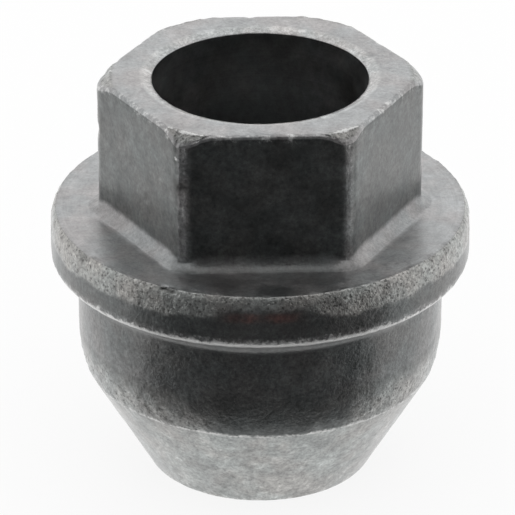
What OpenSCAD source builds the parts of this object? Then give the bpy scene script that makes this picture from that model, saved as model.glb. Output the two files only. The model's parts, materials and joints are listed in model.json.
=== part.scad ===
// Lug nut with a hex drive, a plain bore at the hex end, a round flange and a conical seat.
// One forged and turned piece, standing on the small end of the cone, axis on Z, in millimetres.

/* [Hex] */
// Width across the hex flats
hex_flats = 22; // [21:0.5:22.5]
// Height of the hex above the flange
hex_height = 11.1; // [9.5:0.1:12.5]
// Radius of the rounded upright hex edges
corner_round = 0.9; // [0.5:0.1:1.3]
// Width of the turned chamfer on each top corner
corner_chamfer = 1.1; // [0.8:0.1:1.4]
// Slope of the corner chamfer below level
corner_slope = 38; // [30:1:45]
// Radius of the cove between the hex and the flange
cove_radius = 1.5; // [1.2:0.1:2]

/* [Bore] */
// Diameter of the plain bore at the hex end
bore_d = 16.75; // [15.8:0.05:17.2]
// Depth of the plain bore
bore_depth = 10.5; // [8.5:0.5:12.5]
// Width of the chamfer round the bore's mouth
mouth_width = 0.7; // [0.4:0.1:1]
// Depth of the chamfer round the bore's mouth
mouth_depth = 0.3; // [0.2:0.05:0.6]
// Half angle of the step at the foot of the bore
step_angle = 60; // [50:2.5:70]

/* [Flange] */
// Diameter of the flange at its widest ring
flange_d = 33; // [32.4:0.1:34]
// Thickness of the flange
flange_thickness = 4.5; // [4:0.1:5]
// Radius of the bulged side of the rim, seen in section
rim_radius = 12; // [9:0.5:16]
// Height of the widest ring above the underside
rim_height = 1.5; // [1.2:0.1:1.9]
// Rounding of the rim's top edge
rim_round = 0.4; // [0.3:0.05:0.8]
// Rounding of the rim's lower edge
low_round = 0.8; // [0.4:0.1:1]

/* [Body] */
// Diameter of the body below the flange
body_d = 28.8; // [28.2:0.1:29.4]
// Height of the straight part of the body
body_height = 5.45; // [4.5:0.05:7]
// Radius of the fillet between the body and the flange
fillet_radius = 1.3; // [0.9:0.1:1.6]
// Radius of the curved shoulder, seen in section
shoulder_radius = 10.8; // [10:0.2:13]
// Height of the curved shoulder
shoulder_height = 3.35; // [2.75:0.05:3.75]

/* [Seat] */
// Angle of the conical seat, both sides taken together
seat_angle = 60; // [58:0.5:62]
// Height of the conical seat
seat_height = 8.6; // [8:0.1:9.2]
// Chamfer of the seat's small end
end_chamfer = 0.25; // [0.15:0.05:0.35]

/* [Thread] */
// Nominal diameter of the thread
thread_d = 14; // [12:0.5:14]
// Pitch of the thread
thread_pitch = 1.5; // [1.25:0.25:2]
// Diameter of the lead-in at the small end
lead_in_d = 14.8; // [14.4:0.1:15]

/* [Hidden] */
$fn = 128;
// How far a round stands past tangency, so that it crosses its neighbours
graze = 0.02;
flat_r = hex_flats / 2;
corner_x = (flat_r - corner_round + graze) / cos(30);
hex_corner_r = corner_x + corner_round;
top_r = hex_corner_r - corner_chamfer;
shoulder_top_z = seat_height + shoulder_height;
under_z = shoulder_top_z + body_height;
face_z = under_z + flange_thickness;
top_z = face_z + hex_height;
body_r = body_d / 2;
flange_r = flange_d / 2;
seat_top_r = body_r - shoulder_radius + sqrt(pow(shoulder_radius, 2) - pow(shoulder_height, 2));
seat_slope = tan(seat_angle / 2);
end_r = seat_top_r - seat_height * seat_slope;
bore_r = bore_d / 2;
minor_r = thread_d / 2 - 0.54127 * thread_pitch;
lead_in_r = lead_in_d / 2;
step_top_z = top_z - bore_depth;
step_z = step_top_z - (bore_r - minor_r) / tan(step_angle);
rim_x = flange_r - rim_radius;
rim_z = under_z + rim_height;
round_z = face_z - rim_round;
round_x = rim_x + sqrt(pow(rim_radius - rim_round, 2) - pow(round_z - rim_z, 2));
round_turn = atan2(round_z - rim_z, round_x - rim_x);
cove_sink = flat_r - hex_corner_r * cos(30) + graze;
cove_offset = cove_radius - cove_sink;
low_z = under_z + low_round;
low_x = rim_x + sqrt(pow(rim_radius - low_round, 2) - pow(low_z - rim_z, 2));
low_turn = atan2(low_z - rim_z, low_x - rim_x);
fillet_offset = fillet_radius - graze;
spill = 1;

// Sections on the right of the axis: x is the radius, y the height.
module seat_section() {
    polygon([
        [0, 0],
        [end_r - end_chamfer, 0],
        [end_r + end_chamfer * seat_slope, end_chamfer],
        [end_r + shoulder_top_z * seat_slope, shoulder_top_z],
        [0, shoulder_top_z]
    ]);
}

// The cone runs up into the shoulder's arc, and the two meet in an edge at the seat's height.
module lower_section() {
    intersection() {
        seat_section();
        union() {
            square([body_r, seat_height - spill]);
            translate([body_r - shoulder_radius, shoulder_top_z]) circle(r = shoulder_radius);
        }
    }
}

// What a rounded edge takes off: from straight up (side 1) or down (side -1) to the angle turn.
module edge_off(radius, turn, side) {
    far = radius + spill;
    difference() {
        polygon([
            [0, 0],
            [0, far * side],
            [far, far * side],
            [far, far * tan(turn)]
        ]);
        circle(r = radius);
    }
}

module fillet_section() {
    difference() {
        translate([body_r - spill, under_z - fillet_offset]) square(fillet_offset + spill);
        translate([body_r + fillet_offset, under_z - fillet_offset]) circle(r = fillet_radius);
    }
}

module flange_section() {
    difference() {
        union() {
            translate([0, under_z]) square([rim_x, flange_thickness]);
            intersection() {
                translate([0, under_z]) square([flange_r + spill, flange_thickness]);
                translate([rim_x, rim_z]) circle(r = rim_radius);
            }
            fillet_section();
        }
        translate([round_x + graze, round_z + graze]) edge_off(rim_round, round_turn, 1);
        translate([low_x + graze, low_z - graze]) edge_off(low_round, low_turn, -1);
    }
}

module turned_solid() {
    rotate_extrude() {
        lower_section();
        translate([0, shoulder_top_z]) square([body_r, body_height]);
        flange_section();
    }
}

// What the rounding takes off the upright hex edge on +X.
module corner_off() {
    far = corner_round + spill;
    linear_extrude(hex_height + 3 * spill)
        translate([corner_x, 0]) difference() {
            polygon([
                [0, 0],
                [far * cos(30), far * sin(30)],
                [far * cos(30), -far * sin(30)]
            ]);
            circle(r = corner_round);
        }
}

module hex_solid() {
    outer_r = flat_r / cos(30) + spill;
    difference() {
        intersection() {
            translate([0, 0, face_z - spill]) cylinder(r = flat_r / cos(30), h = hex_height + spill, $fn = 6);
            rotate_extrude() polygon([
                [0, face_z - spill],
                [outer_r, face_z - spill],
                [outer_r, top_z - (outer_r - top_r) * tan(corner_slope)],
                [top_r, top_z],
                [0, top_z]
            ]);
        }
        for (side = [0:5])
            rotate([0, 0, 60 * side]) translate([0, 0, face_z - 2 * spill]) corner_off();
    }
}

// A hexagonal skirt with a round bar's shape taken out along each flat, mitred at the corners.
module cove_solid() {
    skirt_r = (flat_r + cove_offset) / cos(30);
    difference() {
        translate([0, 0, face_z - spill]) cylinder(r = skirt_r, h = cove_offset + spill, $fn = 6);
        for (side = [0:5])
            rotate([0, 0, 30 + 60 * side])
                translate([flat_r + cove_offset, 0, face_z + cove_offset])
                    rotate([90, 0, 0]) cylinder(r = cove_radius, h = hex_flats * 2, center = true);
    }
}

module bore_solid() {
    rotate_extrude() polygon([
        [0, -spill],
        [lead_in_r + spill, -spill],
        [minor_r, lead_in_r - minor_r],
        [minor_r, step_z],
        [bore_r, step_top_z],
        [bore_r, top_z - mouth_depth],
        [bore_r + mouth_width, top_z],
        [bore_r + mouth_width, top_z + spill],
        [0, top_z + spill]
    ]);
}

module lug_nut() {
    color([0.36, 0.37, 0.37])
        difference() {
            union() {
                turned_solid();
                hex_solid();
                cove_solid();
            }
            bore_solid();
        }
}

lug_nut();
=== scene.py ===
"""Dresses a forged lug nut: its worn steel body, its stud thread and a plain pale stage."""

import json
import math
import random

import bmesh
import bpy
from mathutils import Euler, Matrix, Vector, kdtree, noise


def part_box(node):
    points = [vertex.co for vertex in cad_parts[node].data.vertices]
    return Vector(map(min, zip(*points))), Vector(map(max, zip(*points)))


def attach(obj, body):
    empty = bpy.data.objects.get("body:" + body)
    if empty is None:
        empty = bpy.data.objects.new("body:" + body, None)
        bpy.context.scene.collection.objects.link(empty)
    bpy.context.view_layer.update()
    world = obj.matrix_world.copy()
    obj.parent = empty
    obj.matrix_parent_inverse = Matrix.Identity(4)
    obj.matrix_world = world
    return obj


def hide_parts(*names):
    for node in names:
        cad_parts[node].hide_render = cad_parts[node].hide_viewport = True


bl_info = {
    "name": "Lug Nut",
    "version": (1, 0, 0),
    "blender": (4, 5, 0),
    "location": "View3D > Sidebar > Lug Nut",
    "description": "Builds a worn forged lug nut around its packed solid",
    "category": "Add Mesh",
}

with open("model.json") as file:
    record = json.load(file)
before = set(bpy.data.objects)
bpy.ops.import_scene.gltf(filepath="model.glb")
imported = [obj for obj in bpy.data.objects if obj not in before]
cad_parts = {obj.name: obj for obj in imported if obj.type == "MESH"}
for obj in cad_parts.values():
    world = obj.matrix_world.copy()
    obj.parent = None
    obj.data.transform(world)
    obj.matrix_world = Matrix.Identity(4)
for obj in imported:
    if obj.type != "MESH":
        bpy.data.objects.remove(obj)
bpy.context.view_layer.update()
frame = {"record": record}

NODE = "lug_nut"
BODY = "root"
MM = 0.001
LOW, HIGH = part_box(NODE)
MOUNTS = {mount["name"]: mount for mount in frame["record"]["mounts"]}


def mount_size(name, key):
    """A size of one of the part's mounts, in metres."""
    return MOUNTS[name]["dims"][key] * MM


def length(name, description, default):
    """A length that a user can change."""
    return bpy.props.FloatProperty(name=name, description=description, default=default, min=0.0,
                                   unit="LENGTH", precision=5)


def angle(name, description, degrees):
    """An angle that a user can change."""
    return bpy.props.FloatProperty(name=name, description=description, default=math.radians(degrees),
                                   subtype="ANGLE")


def tone(name, description, colour):
    """A colour that a user can change."""
    return bpy.props.FloatVectorProperty(name=name, description=description, default=colour, size=3,
                                         min=0.0, max=1.0, subtype="COLOR")


def amount(name, description, default, high=1.0):
    """A plain number that a user can change."""
    return bpy.props.FloatProperty(name=name, description=description, default=default, min=0.0, max=high)


def whole_number(name, description, default):
    """A whole number that a user can change."""
    return bpy.props.IntProperty(name=name, description=description, default=default, min=0)


BORE_WEAR = 0.05 * MM
BORE_RADIUS = mount_size("hex_end_bore", "r_mm") + BORE_WEAR
THREAD_RADIUS = mount_size("stud_thread", "r_mm")


class NutSizes(bpy.types.PropertyGroup):
    """Sizes of the nut's forms."""

    height: length("Height", "From the small end to the hex top", HIGH.z - LOW.z)
    flats: length("Across flats", "Width across the hex flats", 22.45 * MM)
    hex_height: length("Hex height", "Height of the hex above the flange", 11.1 * MM)
    corner_flat: length("Corner flat", "Depth of the worn flat on each upright hex edge", 0.31 * MM)
    corner_chamfer: length("Corner chamfer", "Mean width of the chamfer on the top corners", 0.9 * MM)
    corner_lean: angle("Corner lean", "How far the left front corner flat is turned to the front", 8)
    chamfer_shift: length("Chamfer shift", "How far the chamfer is turned off centre", 0.25 * MM)
    chamfer_side: angle("Chamfer side", "Azimuth at which the chamfer is narrowest", 285)
    chamfer_drop: length("Chamfer drop", "How far the chamfer falls at the corners", 0.72 * MM)
    corner_knock: length("Corner knock", "How much more it falls at the left front corner", 0.2 * MM)
    brow: length("Top edge rounding", "Radius of the worn edge round the hex top", 0.34 * MM)
    cove_radius: length("Cove radius", "Radius of the cove at the foot of the hex", 1.5 * MM)
    cove_sink: length("Cove sink", "How far the cove's round is sunk into hex and flange", 0.1 * MM)
    cove_dip: amount("Cove dip", "Share of its height that the cove loses at the hex corners", 0.5)
    bore_radius: length("Bore radius", "Radius of the plain bore", BORE_RADIUS)
    bore_depth: length("Bore depth", "Depth of the plain bore", 10.5 * MM)
    mouth_width: length("Mouth chamfer width", "Width of the chamfer round the bore", 0.75 * MM)
    mouth_depth: length("Mouth chamfer depth", "Depth of the chamfer round the bore", 0.3 * MM)
    step_angle: angle("Step angle", "Half angle of the step at the foot of the bore", 60)
    flange_radius: length("Flange radius", "Radius of the flange's widest ring", (HIGH.x - LOW.x) / 2)
    flange_thickness: length("Flange thickness", "Thickness of the flange", 4.5 * MM)
    rim_radius: length("Rim radius", "Radius of the rim's bulge, in section", 30 * MM)
    rim_height: length("Rim height", "Height of the widest ring above the underside", 1.5 * MM)
    rim_round: length("Rim rounding", "Radius of the rounding above the rim's bulge", 1.2 * MM)
    rim_edge: angle("Rim edge", "Slope at which the rounding meets the flange's face in an edge", 43)
    low_round: length("Lower rounding", "Radius of the rim's lower edge", 1.0 * MM)
    neck_height: length("Neck height", "Height of the sloped neck under the flange", 1.0 * MM)
    neck_width: length("Neck width", "Width of the sloped neck under the flange", 0.8 * MM)
    body_radius: length("Body radius", "Radius of the body below the flange", 14.4 * MM)
    shoulder_radius: length("Shoulder radius", "Radius of the curved shoulder, in section", 10.8 * MM)
    shoulder_height: length("Shoulder height", "Height of the curved shoulder", 3.35 * MM)
    seat_height: length("Seat height", "Height of the conical seat", 8.6 * MM)
    seat_angle: angle("Seat half angle", "Slope of the seat from the axis", 30)
    end_round: length("End rounding", "Radius of the small end's edge", 0.3 * MM)
    lead_in_radius: length("Lead-in radius", "Radius of the lead-in at the small end", 7.4 * MM)
    minor_radius: length("Thread minor radius", "Radius of the thread's crests", THREAD_RADIUS)
    thread_pitch: length("Thread pitch", "Rise of the thread in one turn", 1.5 * MM)


class NutFinish(bpy.types.PropertyGroup):
    """Colours and wear of the steel."""

    coat: tone("Coat", "Phosphate coat on the hex sides", (0.118, 0.124, 0.122))
    # The cut tone is also laid on as painted light on the body's and the cove's sides and on the bore's
    # back wall
    cut: tone("Cut faces", "Coat over the turned hex top and flange face", (0.395, 0.391, 0.396))
    crust: tone("Crust", "Coat on the rough upper rim and the corner chamfers", (0.425, 0.424, 0.413))
    seat: tone("Seat", "Coat worn on the conical seat", (0.39, 0.394, 0.387))
    # The bare tone also paints a highlight along the rim's lower edge, brightest in front
    bare: tone("Bare edges", "Bare steel on rubbed edges", (0.74, 0.74, 0.73))
    # The pit tone is partly painted shade, in the coat's pits and in the dings
    pit_and_shade: tone("Pits", "Dark spots in the rough coat", (0.09, 0.09, 0.085))
    stain: tone("Stain", "Reddish stain on the rim", (0.28, 0.14, 0.125))
    grain_depth: length("Grain depth", "Depth of the forged grain on the rim", 0.05 * MM)
    dings: whole_number("Dings", "Number of small dings strewn along the edges", 110)
    seed: whole_number("Seed", "Seed of the strewn dings", 7)


class StageSettings(bpy.types.PropertyGroup):
    """Floor, light and camera."""

    floor: tone("Floor", "Colour of the floor", (0.97, 0.97, 0.97))
    glow: amount("Glow", "Share of the floor that the lens and the gloss see as white", 0.85)
    card: tone("Card", "Colour of the dark card in front", (0.15, 0.15, 0.152))
    light: amount("Light", "Strength of the even light from all round", 1.0, 4.0)
    camera_distance: length("Camera distance", "From the camera to the aim point", 340 * MM)
    camera_aim: length("Aim height", "Height of the aim point", 16.5 * MM)
    camera_elevation: angle("Elevation", "Height of the camera above level, seen from the aim point", 27.12)
    camera_pitch: angle("Pitch", "Downward tilt of the camera", 27.035)
    camera_turn: angle("Turn", "Azimuth of the camera about the nut", -2.0)
    camera_yaw: angle("Yaw", "Turn of the camera's own axis towards its left", 0.0397)
    focal_share: amount("Focal share", "Focal length over picture width", 8.342, 50.0)


def object_from(bm, name, materials):
    """Makes an object at the origin from a bmesh, smooth shaded."""
    for face in bm.faces:
        face.smooth = True
    mesh = bpy.data.meshes.new(name)
    bm.to_mesh(mesh)
    bm.free()
    for material in materials:
        mesh.materials.append(material)
    piece = bpy.data.objects.new(name, mesh)
    bpy.context.scene.collection.objects.link(piece)
    return piece


# Sections: points (radius, height) with the zone that each belongs to

def straight(start, end, pieces):
    """Points from start to end, without start."""
    return [(start[0] + (end[0] - start[0]) * i / pieces, start[1] + (end[1] - start[1]) * i / pieces)
            for i in range(1, pieces + 1)]


def arc(centre, radius, first, last, pieces):
    """Points round a centre from one angle to another, without the first."""
    turns = [first + (last - first) * i / pieces for i in range(1, pieces + 1)]
    return [(centre[0] + radius * math.cos(t), centre[1] + radius * math.sin(t)) for t in turns]


class Outline:
    """A closed section whose points know their zone and how far along it they lie."""

    def __init__(self, start):
        self.points = [start]
        self.zones = ["start"]
        self.shares = [0.0]

    def add(self, zone, points):
        """Adds the points of one zone."""
        for i, point in enumerate(points, 1):
            self.points.append(point)
            self.zones.append(zone)
            self.shares.append(i / len(points))

    def line(self, zone, end, pieces):
        """Adds a straight run of pieces to an end point."""
        self.add(zone, straight(self.points[-1], end, pieces))

    def close(self):
        """Drops the last point, which lies on the first, and gives the first its zone."""
        self.points.pop()
        self.zones[0] = self.zones.pop()
        self.shares[0] = self.shares.pop()


def across(radius, rise):
    """How far out a circle stands at some height above its centre."""
    return math.sqrt(radius ** 2 - rise ** 2)


def smoothstep(low, high, value):
    """Rises smoothly from 0 at low to 1 at high."""
    t = min(1.0, max(0.0, (value - low) / (high - low)))
    return t * t * (3 - 2 * t)


def blend(start, end, share):
    """A value some way from a start to an end."""
    return start + (end - start) * share


QUARTER = math.pi / 2
SIXTH = math.pi / 3
# Width of the narrow row along the edge of the flange's face
LIP_WIDTH = 0.06 * MM
# Depth of the thread as a share of its pitch, and how far its root stays from the nut's wall
THREAD_DEPTH_SHARE = 0.54127
WALL_MARGIN = 0.1 * MM
# The left front hex corner, counted from +X, and how closely its knock keeps to it
KNOCKED_CORNER = 4
KNOCK_SHARPNESS = 8


class Forms:
    """Places worked out from the nut's sizes."""

    def __init__(self, s):
        self.sizes = s
        self.top = LOW.z + s.height
        self.face = self.top - s.hex_height
        self.under = self.face - s.flange_thickness
        self.shoulder = s.seat_height + s.shoulder_height
        self.seat_radius = s.body_radius - s.shoulder_radius + across(s.shoulder_radius, s.shoulder_height)
        self.end_radius = self.seat_radius - s.seat_height * math.tan(s.seat_angle)
        self.rim_x = s.flange_radius - s.rim_radius
        self.rim_z = self.under + s.rim_height
        self.round_z = self.face - s.rim_round * math.sin(s.rim_edge)
        self.round_x = self.rim_x + across(s.rim_radius - s.rim_round, self.round_z - self.rim_z)
        self.round_turn = math.atan2(self.round_z - self.rim_z, self.round_x - self.rim_x)
        self.edge_radius = self.round_x + s.rim_round * math.cos(s.rim_edge)
        self.lip_radius = self.edge_radius - LIP_WIDTH
        self.low_z = self.under + s.low_round
        self.low_x = self.rim_x + across(s.rim_radius - s.low_round, self.low_z - self.rim_z)
        self.low_turn = math.atan2(self.low_z - self.rim_z, self.low_x - self.rim_x)
        self.half_flats = s.flats / 2
        self.corner_radius = self.half_flats / math.cos(SIXTH / 2) - s.corner_flat
        self.chamfer_radius = self.corner_radius - s.corner_chamfer
        self.cove_offset = s.cove_radius - s.cove_sink
        self.cove_turn = math.asin(self.cove_offset / s.cove_radius)
        self.cove_reach = self.cove_offset - s.cove_radius * math.cos(self.cove_turn)
        self.mouth_radius = s.bore_radius + s.mouth_width
        self.step_top = self.top - s.bore_depth
        self.step_foot = self.step_top - (s.bore_radius - s.minor_radius) / math.tan(s.step_angle)
        self.thread_depth = THREAD_DEPTH_SHARE * s.thread_pitch
        self.wall_radius = s.minor_radius + self.thread_depth + WALL_MARGIN
        self.wall_low = s.lead_in_radius - self.wall_radius
        self.wall_high = self.step_foot + (self.wall_radius - s.minor_radius) / math.tan(s.step_angle)

    def top_radius(self, turn):
        """Radius of the chamfer's upper edge, which is turned a little off centre."""
        return self.chamfer_radius + self.sizes.chamfer_shift * math.cos(turn - self.sizes.chamfer_side)

    def chamfer_slope(self, turn):
        """Slope of the chamfer, which falls deeper at the one knocked corner."""
        near = max(0.0, math.cos(turn - KNOCKED_CORNER * SIXTH)) ** KNOCK_SHARPNESS
        drop = self.sizes.chamfer_drop + self.sizes.corner_knock * near
        return math.atan2(drop, self.corner_radius - self.top_radius(turn))

    def chamfer_height(self, radius, turn):
        """Height of the hex top or of its chamfer."""
        beyond = max(0.0, radius - self.top_radius(turn))
        return self.top - beyond * math.tan(self.chamfer_slope(turn))


# Steps of the spin, and how strongly they are drawn to the hex corners
SPIN_STEPS = 480
CORNER_CROWDING = 0.6
MERGE_DISTANCE = 0.001 * MM
# How far the cove's dip reaches from a corner, and how much deeper the corner is worn at its foot
CORNER_REACH = math.radians(7)
COVE_WEAR = 1.3
# Softness of a worn corner as a share of its depth
CORNER_SOFTNESS = 0.8
# How much the top edge's rounding grows where the chamfer is wide, and the width at which it is grown
BROW_GROWTH = 0.6
BROW_RANGE = 0.5 * MM
# Least width of the chamfer, and heights of the rows under the seat's upper edge and the bore's mouth
BEVEL_LEAST = 0.04 * MM
SEAT_EDGE = 0.14 * MM
BORE_EDGE = 0.06 * MM
# The neck under the flange: share of its width, share of its height and number of pieces
NECK = ((0.04, 1.2, 2), (0.2, 0.9, 2), (1.0, 0.0, 4))
NECK_START = 1.5


def nut_outline(s, f):
    """The nut's section, from the small end up the outside, over the top and down the bore."""
    slope = math.tan(s.seat_angle)
    set_back = s.end_round * math.tan((QUARTER - s.seat_angle) / 2)
    end_centre = (f.end_radius - set_back, s.end_round)
    shoulder_centre = (s.body_radius - s.shoulder_radius, f.shoulder)
    shoulder_low = -math.asin(s.shoulder_height / s.shoulder_radius)
    o = Outline((s.lead_in_radius, 0.0))
    o.line("end", (end_centre[0], 0.0), 4)
    o.add("end_edge", arc(end_centre, s.end_round, -QUARTER, -s.seat_angle, 4))
    edge = (f.seat_radius - SEAT_EDGE * slope, s.seat_height - SEAT_EDGE)
    o.line("seat", edge, 31)
    o.line("seat_edge", (f.seat_radius, s.seat_height), 2)
    o.add("shoulder", arc(shoulder_centre, s.shoulder_radius, shoulder_low, 0.0, 13))
    o.line("body", (s.body_radius, f.under - NECK_START * s.neck_height), 15)
    for width, height, pieces in NECK:
        o.line("neck", (s.body_radius + width * s.neck_width, f.under - height * s.neck_height), pieces)
    o.line("under", (f.low_x, f.under), 1)
    o.add("low", arc((f.low_x, f.low_z), s.low_round, -QUARTER, f.low_turn, 8))
    o.add("rim", arc((f.rim_x, f.rim_z), s.rim_radius, f.low_turn, f.round_turn, 14))
    o.add("round", arc((f.round_x, f.round_z), s.rim_round, f.round_turn, s.rim_edge, 6))
    o.line("lip", (f.lip_radius, f.face), 1)
    o.line("face", (f.half_flats + f.cove_reach, f.face), 10)
    o.line("cove", (f.half_flats, f.face + f.cove_reach), 8)
    o.line("flat", (f.half_flats, f.top - s.brow), 29)
    o.line("brow", (f.half_flats - s.brow, f.top), 5)
    o.line("bevel", (f.half_flats - s.brow - BEVEL_LEAST, f.top), 4)
    o.line("top", (f.mouth_radius, f.top), 9)
    o.line("mouth", (s.bore_radius, f.top - s.mouth_depth), 4)
    o.line("bore", (s.bore_radius, f.top - s.mouth_depth - BORE_EDGE), 1)
    o.line("bore", (s.bore_radius, f.step_top), 9)
    o.line("step", (f.wall_radius, f.wall_high), 4)
    o.line("wall", (f.wall_radius, f.wall_low), 1)
    o.line("lead_in", (s.lead_in_radius, 0.0), 2)
    o.close()
    return o


def spun(outline, steps):
    """Spins a closed section round the axis. A vertex keeps its zone's number and its share of it."""
    bm = bmesh.new()
    zone_layer = bm.verts.layers.int.new("zone")
    share_layer = bm.verts.layers.float.new("share")
    names = sorted(set(outline.zones))
    ring = []
    for (radius, height), zone, share in zip(outline.points, outline.zones, outline.shares):
        vert = bm.verts.new((radius, 0.0, height))
        vert[zone_layer] = names.index(zone)
        vert[share_layer] = share
        ring.append(vert)
    edges = [bm.edges.new((a, b)) for a, b in zip(ring, ring[1:] + ring[:1])]
    bmesh.ops.spin(bm, geom=ring + edges, cent=(0, 0, 0), axis=(0, 0, 1), dvec=(0, 0, 0),
                   angle=2 * math.pi, steps=steps, use_merge=True, use_duplicate=False)
    bmesh.ops.remove_doubles(bm, verts=bm.verts, dist=MERGE_DISTANCE)
    bmesh.ops.recalc_face_normals(bm, faces=bm.faces)
    return bm, names


# The hex: vertices of the spun skin are moved out to a hexagon with worn corners

def crowd(turn, weight):
    """Draws angles towards the hex corners, which lie at whole sixths of a turn."""
    return turn - weight * CORNER_CROWDING * math.sin(6 * turn) / 6


def corner_angle(turn):
    """Angle from the nearest hex corner, with its sign."""
    return (turn + SIXTH / 2) % SIXTH - SIXTH / 2


def corner_wear(turn, half_flats, corner_flat, lean):
    """Radius to the side of a sharp hexagon at one angle, and to the flat worn on its nearest corner."""
    off = corner_angle(turn)
    sharp = half_flats / math.cos(SIXTH / 2)
    side = half_flats / math.cos(SIXTH / 2 - abs(off))
    if round((turn - off) / SIXTH) % 6 != KNOCKED_CORNER:
        lean = 0.0
    return side, (sharp * math.cos(lean) - corner_flat) / math.cos(off - lean)


def hex_radius(turn, half_flats, corner_flat, lean):
    """Radius of a hexagon at one angle. Its corners are worn flat, and the flats run out softly."""
    side, worn = corner_wear(turn, half_flats, corner_flat, lean)
    soft = CORNER_SOFTNESS * corner_flat
    near = max(0.0, soft - abs(side - worn))
    return min(side, worn) - near ** 2 / (4 * soft)


def hex_place(zone, share, turn, s, f):
    """Where a vertex of the hex, its cove, its top or the flange's face goes: radius, height and angle."""
    if zone == "face":
        turned = crowd(turn, share)
        inner = hex_radius(turned, f.half_flats + f.cove_reach, s.corner_flat * COVE_WEAR, 0.0)
        return blend(f.lip_radius, inner, share), f.face, turned
    turned = crowd(turn, 1.0 - share if zone == "top" else 1.0)
    side = hex_radius(turned, f.half_flats, s.corner_flat, s.corner_lean)
    kept = 1.0 - s.cove_dip * smoothstep(CORNER_REACH, 0.0, abs(corner_angle(turned)))
    if zone == "cove":
        swing = f.cove_turn + (QUARTER - 2 * f.cove_turn) * share
        out = f.cove_offset - s.cove_radius * math.cos(swing)
        up = f.cove_offset - s.cove_radius * math.sin(swing)
        grown = out / f.cove_reach
        worn = s.corner_flat * (1 + (COVE_WEAR - 1) * grown)
        radius = hex_radius(turned, f.half_flats + out, worn, s.corner_lean * (1 - grown))
        return radius, f.face + up * kept, turned
    ring = f.top_radius(turned)
    brow = s.brow * (1 + BROW_GROWTH * smoothstep(0.0, BROW_RANGE, side - ring))
    slope = f.chamfer_slope(turned) * smoothstep(0.0, s.brow, side - ring)
    brow_low = f.chamfer_height(side, turned) - brow * (1 - math.sin(slope)) / math.cos(slope)
    if zone == "flat":
        low = f.face + f.cove_reach * kept
        return side, blend(low, brow_low, share), turned
    if zone == "brow":
        swing = share * (QUARTER - slope)
        return side - brow * (1 - math.cos(swing)), brow_low + brow * math.sin(swing), turned
    outer = side - brow * (1 - math.sin(slope))
    inner = min(ring, outer - BEVEL_LEAST)
    if zone == "bevel":
        radius = blend(outer, inner, share)
    else:
        radius = blend(inner, f.mouth_radius, share)
    return radius, f.chamfer_height(radius, turned), turned


HEX_ZONES = {"face", "cove", "flat", "brow", "bevel", "top"}


def raise_hex(bm, names, s, f):
    """Moves the spun skin's hex zones to their places."""
    zone_layer = bm.verts.layers.int["zone"]
    share_layer = bm.verts.layers.float["share"]
    for vert in bm.verts:
        zone = names[vert[zone_layer]]
        if zone in HEX_ZONES:
            turn = math.atan2(vert.co.y, vert.co.x)
            radius, height, turned = hex_place(zone, vert[share_layer], turn, s, f)
            vert.co = (radius * math.cos(turned), radius * math.sin(turned), height)
    bm.normal_update()


# Wear, painted light and painted shade

# How much of each mask a zone has, before the wear, painted light and painted shade of its own that some
# zones get
ZONE_MASKS = {
    "grain": {
        "round": 1.0, "neck": 0.3, "low": 0.7, "shoulder": 0.65, "cove": 0.25, "body": 0.6, "seat": 0.62,
        "seat_edge": 0.75, "end_edge": 0.55, "face": 0.08, "lip": 0.5, "brow": 0.35, "flat": 0.15,
        "mouth": 0.6, "top": 0.25,
    },
    # Some zones' own steps add painted light to the cut mask on the body's and the cove's sides and the
    # bore's back wall, and painted shade down the bore
    "cut": {
        "top": 1.0, "mouth": 1.0, "brow": 0.85, "face": 1.0, "lip": 1.0, "cove": 0.17, "under": 0.6,
        "end": 1.0, "neck": 0.16, "rim": 0.12, "low": 0.4, "body": 0.15, "shoulder": 0.06, "step": 0.6,
        "lead_in": 0.6,
    },
    "crust": {"round": 1.0},
    "seat": {"seat": 1.0, "seat_edge": 1.0, "end_edge": 1.0, "end": 0.6},
    "pale": {"mouth": 0.4},
    "bare": {"brow": 0.2, "mouth": 0.12, "end_edge": 0.3, "seat_edge": 0.6},
    "streaks": {"flat": 0.6, "body": 0.2},
    "turned": {"face": 0.45, "under": 0.8, "neck": 0.4, "bore": 0.5, "step": 0.8, "end": 0.8},
    "stain": {},
    "scar_and_shade": {},
}
# The rim's rough band: its depth in front and at the sides, the fade of its lower edge, and its wander
CRUST_DEPTH = (1.0 * MM, 2.0 * MM)
CRUST_FADE = (0.4 * MM, 0.15 * MM)
CRUST_WANDER = 0.3 * MM
# The stain: where it starts and ends round the rim, its fade there, and the depths of its head and foot
STAIN_LOW = math.radians(-105)
STAIN_HIGH = math.radians(-78)
STAIN_FADE = 0.15  # radians
STAIN_HEAD = (1.0 * MM, 1.5 * MM)
STAIN_FOOT = (2.2 * MM, 1.8 * MM)
# How far the edge of a worn flank wanders, in radians
FLANK_WANDER = 0.15
# How rubbed the upright hex edges are
RUBBED_LEFT = 0.8
RUBBED_RIGHT = 0.35


def front_angle(place):
    """Angle of a place from the nut's front."""
    return abs(math.atan2(place.x, -place.y))


def flank(place, near, far, wander=0.0):
    """Rises from 0 to 1 between two angles, in degrees, from the nut's front towards its sides."""
    return smoothstep(math.radians(near), math.radians(far), front_angle(place) + FLANK_WANDER * wander)


def drift(place, coarse, fine):
    """A wandering value about 0, from a coarse noise and half as much of a fine one."""
    return noise.noise(place / coarse) + 0.5 * noise.noise(place / fine)


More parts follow.
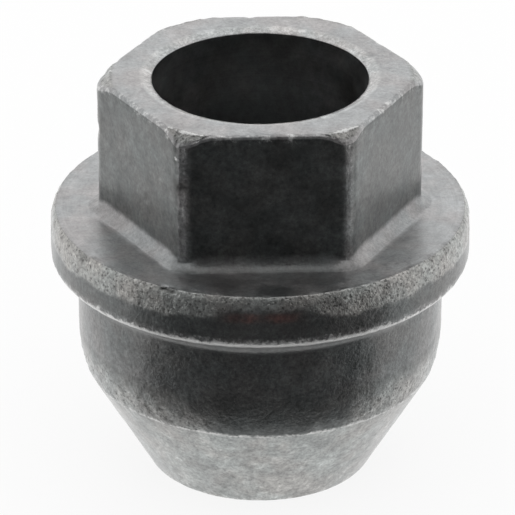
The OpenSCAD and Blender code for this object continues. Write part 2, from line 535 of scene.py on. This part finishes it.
def rim_wear_and_painted_highlight(masks, share, place, s, f):
    """The rim: rough and light above, dark below, stained in front, with a bare foot that is partly a
    painted highlight.
    """
    drop = f.face - place.z
    sides = flank(place, 8, 20)
    depth = blend(*CRUST_DEPTH, sides)
    fade = blend(*CRUST_FADE, sides)
    wander = CRUST_WANDER * drift(place, 1.6 * MM, 0.5 * MM)
    crust = smoothstep(depth + fade, depth - fade, drop + wander)
    masks["grain"] = 0.55 + 0.45 * crust
    masks["crust"] = crust
    # Bare steel at the rim's foot, stronger in front: partly wear, partly a painted highlight
    masks["bare"] = (0.3 - 0.2 * sides) * smoothstep(0.1, 0.0, share)
    turn = math.atan2(place.y, place.x)
    along = smoothstep(STAIN_LOW, STAIN_LOW + STAIN_FADE, turn)
    along *= smoothstep(STAIN_HIGH, STAIN_HIGH - STAIN_FADE, turn)
    masks["stain"] = along * smoothstep(*STAIN_FOOT, drop) * smoothstep(*STAIN_HEAD, drop)


def low_wear_and_painted_highlight(masks, share, place, s, f):
    """The rim's lower edge: rubbed bare, in front most of all, where the bare band is partly a painted
    highlight.
    """
    sides = flank(place, 15, 40)
    worn = smoothstep(1.0, 0.6, share) * smoothstep(0.0, 0.15, share)
    # Partly wear, partly a painted highlight along the edge, stronger in front
    masks["bare"] = 0.3 - 0.2 * sides + (0.7 + 0.05 * sides) * worn


def shoulder_wear_and_painted_shade(masks, share, place, s, f):
    """The shoulder: a worn light band and a rough patch over the seat on its flanks, left out in front as
    painted shade.
    """
    wander = drift(place, 2.2 * MM, 0.7 * MM)
    sides = flank(place, 12, 32, wander)
    # The light band is real wear on the flanks; leaving it out in front paints shade there
    patch = sides * smoothstep(0.75, 0.5, share - 0.3 * wander)
    masks["seat"] = patch + (sides - patch) * (0.15 + 0.6 * smoothstep(1.1, 0.4, share))
    masks["grain"] += 0.4 * patch


def wear_flat(masks, share, place, s, f):
    """The hex sides: rubbed on their upright edges, more on the left, and a little under the top."""
    turn = math.atan2(place.y, place.x)
    side, worn = corner_wear(turn, f.half_flats, s.corner_flat, s.corner_lean)
    rubbed = smoothstep(-0.2, 0.7, (side - worn) / s.corner_flat)
    masks["cut"] = (RUBBED_LEFT if place.x < 0 else RUBBED_RIGHT) * rubbed
    masks["bare"] = 0.1 * smoothstep(0.93, 1.0, share)
    masks["grain"] += 0.35 * rubbed + 0.3 * smoothstep(0.9, 1.0, share)


def wear_bevel(masks, share, place, s, f):
    """The corner chamfers: rough and light where they are wide, with a bare upper edge."""
    turn = math.atan2(place.y, place.x)
    side = hex_radius(turn, f.half_flats, s.corner_flat, s.corner_lean)
    wide = smoothstep(0.1 * MM, 0.35 * MM, side - f.top_radius(turn))
    masks["grain"] = 0.1 + 0.9 * wide
    masks["cut"] = 1.0 - 0.75 * wide
    masks["crust"] = 0.7 * wide
    masks["bare"] = (0.8 - 0.6 * flank(place, 35, 65)) * wide * smoothstep(0.75, 1.0, share)


def wear_top(masks, share, place, s, f):
    """The hex top: pale beside the bore's mouth."""
    masks["pale"] = 0.35 * smoothstep(0.9, 1.0, share)


def bore_painted_light_and_shade(masks, share, place, s, f):
    """The bore: painted light on the sides of its back wall, and painted shade further down."""
    sides = smoothstep(math.radians(15), math.radians(55), math.pi - front_angle(place))
    # Painted light on the back wall's sides, and painted shade deeper down
    masks["cut"] = (0.1 + 0.75 * sides) * (1.0 - 0.6 * share)


def body_painted_light(masks, share, place, s, f):
    """The body: painted light towards its sides and above the shoulder's flanks."""
    wander = noise.noise(place / (2.2 * MM))
    # Painted sheen towards the body's edges, as seen from the front
    masks["cut"] += 0.14 * flank(place, 50, 80)
    # Painted light above the shoulder's flanks, lifting the dark reflection there
    masks["cut"] += 0.15 * flank(place, 15, 35, wander) * smoothstep(0.6, 0.0, share)


def cove_painted_highlight(masks, share, place, s, f):
    """The cove: lighter away from the front, as a painted highlight."""
    # Painted highlight on the cove's sides
    masks["cut"] += 0.5 * flank(place, 18, 40)


ZONE_WEAR_AND_PAINTED_LIGHT = {
    "rim": rim_wear_and_painted_highlight, "low": low_wear_and_painted_highlight, "shoulder": shoulder_wear_and_painted_shade, "flat": wear_flat, "bevel": wear_bevel,
    "top": wear_top, "bore": bore_painted_light_and_shade, "body": body_painted_light, "cove": cove_painted_highlight,
}


def masks_at(zone, share, place, s, f):
    """The masks at a place on the skin."""
    masks = {name: zones.get(zone, 0.0) for name, zones in ZONE_MASKS.items()}
    if zone in ZONE_WEAR_AND_PAINTED_LIGHT:
        ZONE_WEAR_AND_PAINTED_LIGHT[zone](masks, share, place, s, f)
    return masks


# Spacing of the grain's noises
GRAIN_COARSE = 0.9 * MM
GRAIN_FINE = 0.45 * MM
GRAIN_WAVE = 5 * MM


def roughen(bm, names, depth, s, f):
    """Gives the skin its forged grain, and notes the masks that the steel's material reads."""
    zone_layer = bm.verts.layers.int["zone"]
    share_layer = bm.verts.layers.float["share"]
    layers = {name: bm.verts.layers.float.new(name) for name in ZONE_MASKS}
    moves = []
    for vert in bm.verts:
        masks = masks_at(names[vert[zone_layer]], vert[share_layer], vert.co, s, f)
        for name, layer in layers.items():
            vert[layer] = masks[name]
        grain = masks["grain"]
        if grain > 0:
            coarse = noise.noise(vert.co / GRAIN_COARSE)
            fine = noise.noise(vert.co / GRAIN_FINE)
            wave = noise.noise(vert.co / GRAIN_WAVE)
            rough = grain ** 2 * (coarse + 0.8 * fine) + 0.4 * wave
            moves.append((vert, vert.normal * depth * rough))
    for vert, move in moves:
        vert.co += move


def on_corner(corner, height, f):
    """A place on one of the upright hex edges."""
    turn = corner * SIXTH
    return Vector((f.corner_radius * math.cos(turn), f.corner_radius * math.sin(turn), height))


def on_brow(degrees, s, f):
    """A place on the edge round the hex top."""
    turn = math.radians(degrees)
    radius = hex_radius(turn, f.half_flats, s.corner_flat, s.corner_lean)
    return Vector((radius * math.cos(turn), radius * math.sin(turn), f.chamfer_height(radius, turn)))


def on_ring(degrees, radius, height):
    """A place on a turned ring."""
    turn = math.radians(degrees)
    return Vector((radius * math.cos(turn), radius * math.sin(turn), height))


def on_flat(degrees, along, height, f):
    """A place on one of the hex flats, in millimetres along it and up."""
    turn = math.radians(degrees)
    along, height = along * MM, height * MM
    out = Vector((math.cos(turn), math.sin(turn), 0.0)) * f.half_flats
    return out + Vector((-math.sin(turn) * along, math.cos(turn) * along, height))


def known_dings(s, f):
    """Dings seen on the nut: place, reach, depth, how bare and how dark."""
    # Reach and depth are in millimetres in these rows
    rows = [
        (on_corner(3, f.top - 4.4 * MM, f), 0.9, 0.24, 0.1, 0.0),
        (on_corner(KNOCKED_CORNER, 28.76 * MM, f), 0.65, 0.12, 0.0, 0.9),
        (on_flat(270, -5.9, 28.7, f), 0.55, 0.06, 0.0, 0.7),
        (on_flat(210, 5.8, 29.1, f), 0.5, 0.05, 0.0, 0.5),
        (on_flat(210, 5.2, 29.6, f), 0.45, 0.04, 0.0, 0.4),
        (on_flat(210, 5.8, 30.9, f), 0.35, 0.05, 0.35, 0.0),
        (on_flat(330, -5.85, 29.3, f), 0.3, 0.08, 0.0, 0.7),
        (on_flat(330, -5.8, 30.3, f), 0.25, 0.06, 0.0, 0.6),
        (on_flat(330, -5.75, 26.8, f), 0.3, 0.06, 0.0, 0.7),
        (on_flat(330, -5.75, 25.2, f), 0.3, 0.06, 0.0, 0.6),
        (on_brow(256, s, f), 0.9, 0.14, 0.2, 0.0),
        (on_brow(268, s, f), 0.6, 0.16, 0.0, 0.3),
        (on_brow(272, s, f), 0.5, 0.1, 0.3, 0.0),
        (on_brow(281, s, f), 0.6, 0.12, 0.3, 0.0),
        (on_brow(92, s, f), 0.6, 0.12, 0.2, 0.0),
        (on_ring(212.0, 16.25 * MM, f.face - 0.25 * MM), 0.65, 0.25, 0.0, 0.1),
        (on_ring(213.8, 16.25 * MM, f.face - 0.2 * MM), 0.3, 0.12, 0.0, 0.8),
        (on_ring(240.7, f.edge_radius, f.face - 0.1 * MM), 0.4, 0.2, 0.0, 1.2),
        (on_ring(242.2, f.edge_radius, f.face - 0.15 * MM), 0.4, 0.2, 0.0, 1.2),
        (on_ring(243.7, f.edge_radius, f.face - 0.2 * MM), 0.4, 0.2, 0.0, 1.2),
        (on_flat(210, 1.46, 25.86, f), 0.3, 0.1, 0.0, 1.0),
        (on_flat(210, 2.04, 24.65, f), 0.25, 0.08, 0.0, 0.8),
        (on_flat(270, -2.8, 22.95, f), 0.3, 0.1, 0.0, 1.0),
        (on_ring(300, f.mouth_radius, f.top), 0.6, 0.1, 0.2, 0.0),
        (on_ring(20, f.mouth_radius, f.top), 0.7, 0.1, 0.2, 0.0),
    ]
    return [(place, reach * MM, depth * MM, bare, dark) for place, reach, depth, bare, dark in rows]


# The strewn dings: ranges of reach and depth in millimetres, and how bare they are
CHANCE_REACH = (0.25, 0.6)
CHANCE_DEPTH = (0.02, 0.07)
CHANCE_BARE = 0.12
# Where they lie on the rim's lower rounding, as a share of its radius
LOW_SHARE = 0.7
# Spacing of the noise that makes a ding uneven
DING_GRAIN = 0.25 * MM


def chance_dings(s, f, count, seed):
    """Small dings strewn along the edges."""
    pick = random.Random(seed)
    low = f.face + 2 * f.cove_reach
    rim_edge = f.low_x + LOW_SHARE * s.low_round
    places = [
        lambda: on_corner(pick.randrange(6), pick.uniform(low, f.top - 3 * s.brow), f),
        lambda: on_brow(pick.uniform(0, 360), s, f),
        lambda: on_ring(pick.uniform(0, 360), f.edge_radius, f.face),
        lambda: on_ring(pick.uniform(0, 360), rim_edge, f.low_z - LOW_SHARE * s.low_round),
        lambda: on_ring(pick.uniform(0, 360), f.mouth_radius, f.top),
        lambda: on_ring(pick.uniform(0, 360), f.seat_radius, s.seat_height),
    ]
    dings = []
    for i in range(count):
        place = places[i % len(places)]()
        reach = pick.uniform(*CHANCE_REACH) * MM
        depth = pick.uniform(*CHANCE_DEPTH) * MM
        dings.append((place, reach, depth, CHANCE_BARE, 0.0))
    return dings


def ding(bm, dings):
    """Presses each ding into the skin, and bares or darkens the steel there."""
    bare_layer = bm.verts.layers.float["bare"]
    scar_and_shade_layer = bm.verts.layers.float["scar_and_shade"]
    verts = list(bm.verts)
    tree = kdtree.KDTree(len(verts))
    for i, vert in enumerate(verts):
        tree.insert(vert.co, i)
    tree.balance()
    for place, reach, depth, bare, dark in dings:
        for near, i, distance in tree.find_range(place, reach):
            weight = smoothstep(reach, 0.0, distance) * (1.0 + 0.5 * noise.noise(near / DING_GRAIN))
            verts[i].co -= verts[i].normal * depth * weight
            verts[i][bare_layer] += bare * weight
            # Darkening in a ding is partly painted shade in its dent
            verts[i][scar_and_shade_layer] += dark * weight


# Materials

def add_node(tree, kind, inputs=(), **settings):
    """Adds a node with its settings. An input is a value, or a socket to link."""
    node = tree.nodes.new(kind)
    for key, value in settings.items():
        setattr(node, key, value)
    for name, value in dict(inputs).items():
        if isinstance(value, bpy.types.NodeSocket):
            tree.links.new(value, node.inputs[name])
        else:
            node.inputs[name].default_value = value
    return node


# Sockets of the colour mix node, which go by number because its other kinds share their names
MIX_SHARE, MIX_FIRST, MIX_SECOND = 0, 6, 7
MIX_RESULT = 2


class Weave:
    """Short ways to write a node tree."""

    def __init__(self, tree):
        self.tree = tree
        self.place = add_node(tree, "ShaderNodeTexCoord").outputs["Object"]

    def mask(self, name):
        return add_node(self.tree, "ShaderNodeAttribute", attribute_name=name).outputs["Fac"]

    def math(self, operation, a, b=0.0, c=0.0, clamp=False):
        inputs = {0: a, 1: b, 2: c}
        node = add_node(self.tree, "ShaderNodeMath", inputs, operation=operation, use_clamp=clamp)
        return node.outputs[0]

    def times(self, a, b):
        return self.math("MULTIPLY", a, b)

    def scaled(self, value, share, base):
        """A value times a share, on top of a base."""
        return self.math("MULTIPLY_ADD", value, share, base)

    def spread(self, value, share, base=1.0, clamp=False):
        """A base that swings with a noise about one half."""
        return self.math("MULTIPLY_ADD", self.math("SUBTRACT", value, 0.5), share, base, clamp)

    def noise(self, size, detail=3.0, roughness=0.55, place=None):
        inputs = {"Vector": place or self.place, "Scale": 1.0 / size, "Detail": detail,
                  "Roughness": roughness}
        return add_node(self.tree, "ShaderNodeTexNoise", inputs).outputs["Fac"]

    def spots(self, size):
        """Distance to the nearest of many strewn points, in steps of their spacing."""
        inputs = {"Vector": self.place, "Scale": 1.0 / size}
        return add_node(self.tree, "ShaderNodeTexVoronoi", inputs).outputs["Distance"]

    def stretched(self, scale):
        """The place with its axes drawn out or pressed together."""
        inputs = {"Vector": self.place, "Scale": scale}
        return add_node(self.tree, "ShaderNodeMapping", inputs).outputs["Vector"]

    def band(self, value, low, high, to_low=0.0, to_high=1.0):
        """A value carried smoothly from one range to another."""
        inputs = {"Value": value, "From Min": low, "From Max": high, "To Min": to_low, "To Max": to_high}
        node = add_node(self.tree, "ShaderNodeMapRange", inputs, interpolation_type="SMOOTHSTEP")
        return node.outputs["Result"]

    def mix(self, share, a, b, blend_type="MIX"):
        """Two colours mixed. Each is a socket, or red, green and blue."""
        first, second = [c if isinstance(c, bpy.types.NodeSocket) else (*c, 1.0) for c in (a, b)]
        inputs = {MIX_SHARE: share, MIX_FIRST: first, MIX_SECOND: second}
        node = add_node(self.tree, "ShaderNodeMix", inputs, data_type="RGBA", blend_type=blend_type)
        return node.outputs[MIX_RESULT]

    def shaded(self, colour, shade):
        """A colour times a grey."""
        grey = add_node(self.tree, "ShaderNodeCombineColor", {0: shade, 1: shade, 2: shade}).outputs[0]
        return self.mix(1.0, colour, grey, "MULTIPLY")

    def radius(self):
        """Distance from the axis."""
        level = {0: self.place, 1: (1.0, 1.0, 0.0)}
        flat = add_node(self.tree, "ShaderNodeVectorMath", level, operation="MULTIPLY").outputs[0]
        return add_node(self.tree, "ShaderNodeVectorMath", {0: flat}, operation="LENGTH").outputs["Value"]

    def rings(self, size):
        """Lines turned round the axis, as left by a tool."""
        height = add_node(self.tree, "ShaderNodeSeparateXYZ", {0: self.place}).outputs["Z"]
        along = self.math("ADD", self.radius(), height)
        inputs = {"W": along, "Scale": 1.0 / size, "Detail": 3.0}
        return add_node(self.tree, "ShaderNodeTexNoise", inputs, noise_dimensions="1D").outputs["Fac"]

    def bump(self, height, strength, distance):
        inputs = {"Height": height, "Strength": strength, "Distance": distance}
        return add_node(self.tree, "ShaderNodeBump", inputs).outputs["Normal"]


# Noise steps per metre along each axis, for the upright streaks and for the level marks of the tap
STREAK_STRETCH = (700.0, 700.0, 200.0)
MARK_STRETCH = (700.0, 700.0, 6000.0)
COOL_TINT = (0.975, 1.01, 1.01)
WARM_TINT = (1.02, 0.995, 0.98)


def steel_tree(name):
    """A material with an empty tree, its shader and its output."""
    material = bpy.data.materials.new(name)
    material.use_nodes = True
    tree = material.node_tree
    tree.nodes.clear()
    output = add_node(tree, "ShaderNodeOutputMaterial")
    oil = {"Coat Weight": 0.9, "Coat Roughness": 0.22, "Coat IOR": 1.4}
    shader = add_node(tree, "ShaderNodeBsdfPrincipled", {"Metallic": 1.0, **oil})
    tree.links.new(shader.outputs["BSDF"], output.inputs["Surface"])
    return material, tree, shader


def phosphated_steel(look):
    """Dark phosphate coat on forged steel, light where it is cut or worn and bare on rubbed edges, with
    painted light and shade laid on through some of its masks.
    """
    material, tree, shader = steel_tree("phosphated_steel")
    w = Weave(tree)
    grain = w.mask("grain")
    turned = w.mask("turned")
    streaks = w.mask("streaks")
    blotch = w.noise(2.6 * MM, 4.0)
    mottle = w.noise(0.9 * MM)
    fine = w.noise(0.3 * MM, 3.0, 0.6)
    crystals = w.noise(0.14 * MM, 2.0, 0.6)
    streak = w.noise(1.0, 4.0, 0.65, w.stretched(STREAK_STRETCH))
    rings = w.rings(0.16 * MM)

    coat = w.mix(w.mask("cut"), look.coat, look.cut)
    coat = w.mix(w.mask("crust"), coat, look.crust)
    coat = w.mix(w.mask("seat"), coat, look.seat)
    coat = w.mix(w.mask("pale"), coat, look.bare)
    coat = w.mix(w.times(w.mask("stain"), w.band(mottle, 0.35, 0.65, 0.25, 0.7)), coat, look.stain)
    cloudy = w.scaled(w.mask("seat"), 0.5, streaks)
    swings = (
        (blotch, w.scaled(cloudy, 1.0, 0.9)),
        (mottle, w.scaled(cloudy, 0.9, 0.7)),
        (fine, w.scaled(streaks, 1.2, w.scaled(grain, 1.4, 0.5))),
        (crystals, w.scaled(grain, 0.7, 0.5)),
        (streak, w.times(streaks, 0.5)),
        (rings, w.times(turned, 0.5)),
    )
    shade = 1.0
    for pattern, share in swings:
        shade = w.times(shade, w.spread(pattern, share))
    coat = w.shaded(coat, shade)
    tint = w.mix(w.band(w.noise(3.4 * MM), 0.35, 0.65), COOL_TINT, WARM_TINT)
    coat = w.mix(1.0, coat, tint, "MULTIPLY")
    # Dark pits in the rough coat and darkened dings: partly painted shade of the crust's relief and of the
    # dents
    pits_and_painted_shade = w.times(w.band(w.spots(0.32 * MM), 0.42, 0.18), w.band(fine, 0.62, 0.45))
    pits_and_painted_shade = w.times(pits_and_painted_shade, w.band(grain, 0.45, 1.0, 0.0, 0.7))
    coat = w.mix(w.math("MAXIMUM", pits_and_painted_shade, w.mask("scar_and_shade"), clamp=True), coat, look.pit_and_shade)
    # The bare mask also holds a painted highlight along the rim's lower edge
    rubbed = w.mask("bare")
    worn = w.spread(fine, 1.6, w.spread(mottle, 1.6, rubbed))
    bare = w.times(w.band(worn, 0.2, 0.8), w.band(rubbed, 0.0, 0.15))
    tree.links.new(w.mix(bare, coat, look.bare), shader.inputs["Base Color"])

    rough = w.scaled(grain, 0.12, w.band(blotch, 0.3, 0.7, 0.36, 0.46))
    tree.links.new(w.spread(crystals, 0.3, rough, clamp=True), shader.inputs["Roughness"])

    height = w.times(fine, w.scaled(grain, 1.1, 0.12))
    height = w.scaled(pits_and_painted_shade, -0.3, height)
    height = w.scaled(crystals, 0.12, height)
    height = w.scaled(w.times(rings, turned), 0.12, height)
    height = w.scaled(w.times(streak, streaks), 0.2, height)
    tree.links.new(w.bump(height, 0.9, 0.1 * MM), shader.inputs["Normal"])
    return material


def thread_steel(look):
    """Cut steel of the thread, with the marks of the tap."""
    material, tree, shader = steel_tree("thread_steel")
    w = Weave(tree)
    fine = w.noise(0.3 * MM)
    marks = w.noise(1.0, 2.0, 0.5, w.stretched(MARK_STRETCH))
    shade = w.times(w.band(fine, 0.3, 0.7, 0.85, 1.1), w.band(marks, 0.3, 0.7, 0.9, 1.1))
    tree.links.new(w.shaded(look.cut, shade), shader.inputs["Base Color"])
    tree.links.new(w.band(fine, 0.3, 0.7, 0.26, 0.38), shader.inputs["Roughness"])
    tree.links.new(w.bump(marks, 0.4, 0.02 * MM), shader.inputs["Normal"])
    return material


class LUGNUT_OT_body(bpy.types.Operator):
    """Builds the nut's forged body: hex, flange, body, seat and bore"""

    bl_idname = "lug_nut.body"
    bl_label = "Nut Body"

    def execute(self, context):
        s, look = context.scene.lug_nut_sizes, context.scene.lug_nut_finish
        f = Forms(s)
        bm, names = spun(nut_outline(s, f), SPIN_STEPS)
        raise_hex(bm, names, s, f)
        roughen(bm, names, look.grain_depth, s, f)
        ding(bm, known_dings(s, f) + chance_dings(s, f, look.dings, look.seed))
        piece = object_from(bm, "forged_nut", [phosphated_steel(look)])
        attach(piece, BODY)
        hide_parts(NODE)
        return {"FINISHED"}


THREAD_STEPS = 144
ROWS_PER_PITCH = 12
# Where the thread's crest starts and its root ends, from 0 mid root to 1 mid crest
CREST_START = 0.75
ROOT_END = 0.125
# How far the lining is sunk into the nut's wall
LINING_SINK = 0.02 * MM


def thread_radius(turn, height, s, f):
    """Radius of the tapped wall: the thread, opened by the lead-in and by the bore's step."""
    along = (height / s.thread_pitch - turn / (2 * math.pi)) % 1.0
    from_root = abs(along - 0.5) * 2
    cut = min(1.0, max(0.0, (CREST_START - from_root) / (CREST_START - ROOT_END)))
    lead_in = s.lead_in_radius - height
    step = s.minor_radius + (height - f.step_foot) * math.tan(s.step_angle)
    return min(f.wall_radius, max(s.minor_radius + f.thread_depth * cut, lead_in, step))


def thread_outline(s, f):
    """The lining's section, with rows of points up its inner side."""
    rows = round((f.wall_high - f.wall_low) / s.thread_pitch * ROWS_PER_PITCH)
    back = f.wall_radius + LINING_SINK
    o = Outline((back, f.wall_low))
    o.line("back", (back, f.wall_high), 1)
    o.line("crest", (s.minor_radius, f.wall_high), 1)
    o.line("crest", (s.minor_radius, f.wall_low), rows)
    o.line("back", (back, f.wall_low), 1)
    o.close()
    return o


class LUGNUT_OT_thread(bpy.types.Operator):
    """Cuts the stud's thread as a lining of the nut's lower bore"""

    bl_idname = "lug_nut.thread"
    bl_label = "Stud Thread"

    def execute(self, context):
        s, look = context.scene.lug_nut_sizes, context.scene.lug_nut_finish
        f = Forms(s)
        bm, names = spun(thread_outline(s, f), THREAD_STEPS)
        zone_layer = bm.verts.layers.int["zone"]
        for vert in bm.verts:
            if names[vert[zone_layer]] == "crest":
                turn = math.atan2(vert.co.y, vert.co.x)
                radius = thread_radius(turn, vert.co.z, s, f)
                vert.co.xy = radius * math.cos(turn), radius * math.sin(turn)
        piece = object_from(bm, "stud_thread", [thread_steel(look)])
        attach(piece, BODY)
        return {"FINISHED"}


WHITE = (1.0, 1.0, 1.0, 1.0)
FLOOR_RADIUS = 1600 * MM
FLOOR_CORNERS = 96
CARD_NEAR = 20 * MM
CARD_FAR = 150 * MM
CARD_LOW = 0.4 * MM
CARD_HIGH = 330 * MM
CARD_SPREAD = math.radians(123)
CARD_STEPS = 48


def plain_material(name, colour, roughness, mottle):
    """A matt surface with a faint mottle, for the stage."""
    material = bpy.data.materials.new(name)
    material.use_nodes = True
    tree = material.node_tree
    shader = tree.nodes["Principled BSDF"]
    shader.inputs["Roughness"].default_value = roughness
    shader.inputs["Specular IOR Level"].default_value = 0.0
    w = Weave(tree)
    shade = w.band(w.noise(40 * MM), 0.3, 0.7, 1.0 - mottle, 1.0)
    tree.links.new(w.shaded(colour, shade), shader.inputs["Base Color"])
    return material


def lift_to_white(material, share):
    """Lets the lens and the gloss see part of the floor as plain white, so that its shadow stays faint."""
    tree = material.node_tree
    path = add_node(tree, "ShaderNodeLightPath").outputs
    seen = path["Is Camera Ray"]
    for ray in ("Is Glossy Ray", "Is Transmission Ray"):
        seen = add_node(tree, "ShaderNodeMath", {0: seen, 1: path[ray]}, operation="MAXIMUM").outputs[0]
    lift = add_node(tree, "ShaderNodeMath", {0: seen, 1: share}, operation="MULTIPLY").outputs[0]
    white = add_node(tree, "ShaderNodeEmission", {"Color": WHITE, "Strength": 1.0}).outputs[0]
    matt = tree.nodes["Principled BSDF"].outputs[0]
    mixed = add_node(tree, "ShaderNodeMixShader", {0: lift, 1: matt, 2: white}).outputs[0]
    tree.links.new(mixed, tree.nodes["Material Output"].inputs["Surface"])


class LUGNUT_OT_stage(bpy.types.Operator):
    """Sets a pale floor, even light, a dark card in front and the camera"""

    bl_idname = "lug_nut.stage"
    bl_label = "Stage"

    def execute(self, context):
        look = context.scene.lug_nut_stage
        self.add_floor(look)
        self.add_card(look)
        self.add_light(look)
        self.add_camera(look)
        return {"FINISHED"}

    def add_floor(self, look):
        bm = bmesh.new()
        bmesh.ops.create_circle(bm, cap_ends=True, segments=FLOOR_CORNERS, radius=FLOOR_RADIUS)
        paper = plain_material("floor_paper", look.floor, 0.9, 0.004)
        lift_to_white(paper, look.glow)
        object_from(bm, "floor", [paper])

    def add_card(self, look):
        """A dark curved card in front, seen only in the nut's gloss."""
        bm = bmesh.new()
        section = [(CARD_NEAR, CARD_LOW), (CARD_FAR, CARD_LOW), (CARD_FAR, CARD_HIGH)]
        start = Matrix.Rotation(-QUARTER - CARD_SPREAD / 2 + look.camera_turn, 4, "Z")
        verts = [bm.verts.new(start @ Vector((radius, 0.0, height))) for radius, height in section]
        edges = [bm.edges.new(pair) for pair in zip(verts, verts[1:])]
        bmesh.ops.spin(bm, geom=verts + edges, cent=(0, 0, 0), axis=(0, 0, 1), dvec=(0, 0, 0),
                       angle=CARD_SPREAD, steps=CARD_STEPS, use_merge=False, use_duplicate=False)
        card = object_from(bm, "dark_card", [plain_material("card_dark", look.card, 0.9, 0.2)])
        for ray in ("camera", "diffuse", "shadow", "transmission", "volume_scatter"):
            setattr(card, f"visible_{ray}", False)

    def add_light(self, look):
        world = bpy.data.worlds.new("studio")
        world.use_nodes = True
        background = world.node_tree.nodes["Background"]
        background.inputs["Color"].default_value = WHITE
        background.inputs["Strength"].default_value = look.light
        bpy.context.scene.world = world

    def add_camera(self, look):
        camera = bpy.data.cameras.new("camera")
        camera.lens = look.focal_share * camera.sensor_width
        camera.clip_start = 0.01
        camera.clip_end = 20.0
        eye = bpy.data.objects.new("camera", camera)
        level = look.camera_distance * math.cos(look.camera_elevation)
        turn = look.camera_turn
        eye.location = (level * math.sin(turn), -level * math.cos(turn),
                        look.camera_aim + look.camera_distance * math.sin(look.camera_elevation))
        eye.rotation_euler = Euler((QUARTER - look.camera_pitch, 0.0, turn + look.camera_yaw))
        bpy.context.scene.collection.objects.link(eye)
        bpy.context.scene.camera = eye
        bpy.context.scene.view_settings.view_transform = "Standard"


class LUGNUT_PT_panel(bpy.types.Panel):
    """Lists the nut's pieces and their settings"""

    bl_idname = "LUGNUT_PT_panel"
    bl_label = "Lug Nut"
    bl_space_type = "VIEW_3D"
    bl_region_type = "UI"
    bl_category = "Lug Nut"

    def draw(self, context):
        layout = self.layout
        for operator in OPERATORS:
            layout.operator(operator.bl_idname)
        for group_name in GROUPS:
            group = getattr(context.scene, group_name)
            box = layout.box()
            for name in group.__annotations__:
                box.prop(group, name)


OPERATORS = (LUGNUT_OT_body, LUGNUT_OT_thread, LUGNUT_OT_stage)
GROUPS = {"lug_nut_sizes": NutSizes, "lug_nut_finish": NutFinish, "lug_nut_stage": StageSettings}


def register():
    for group in GROUPS.values():
        bpy.utils.register_class(group)
    for operator in OPERATORS:
        bpy.utils.register_class(operator)
    bpy.utils.register_class(LUGNUT_PT_panel)
    for name, group in GROUPS.items():
        setattr(bpy.types.Scene, name, bpy.props.PointerProperty(type=group))


def unregister():
    for name in GROUPS:
        delattr(bpy.types.Scene, name)
    bpy.utils.unregister_class(LUGNUT_PT_panel)
    for operator in reversed(OPERATORS):
        bpy.utils.unregister_class(operator)
    for group in GROUPS.values():
        bpy.utils.unregister_class(group)


def main():
    register()
    bpy.ops.lug_nut.body()
    bpy.ops.lug_nut.thread()
    bpy.ops.lug_nut.stage()


if __name__ == "__main__":
    main()
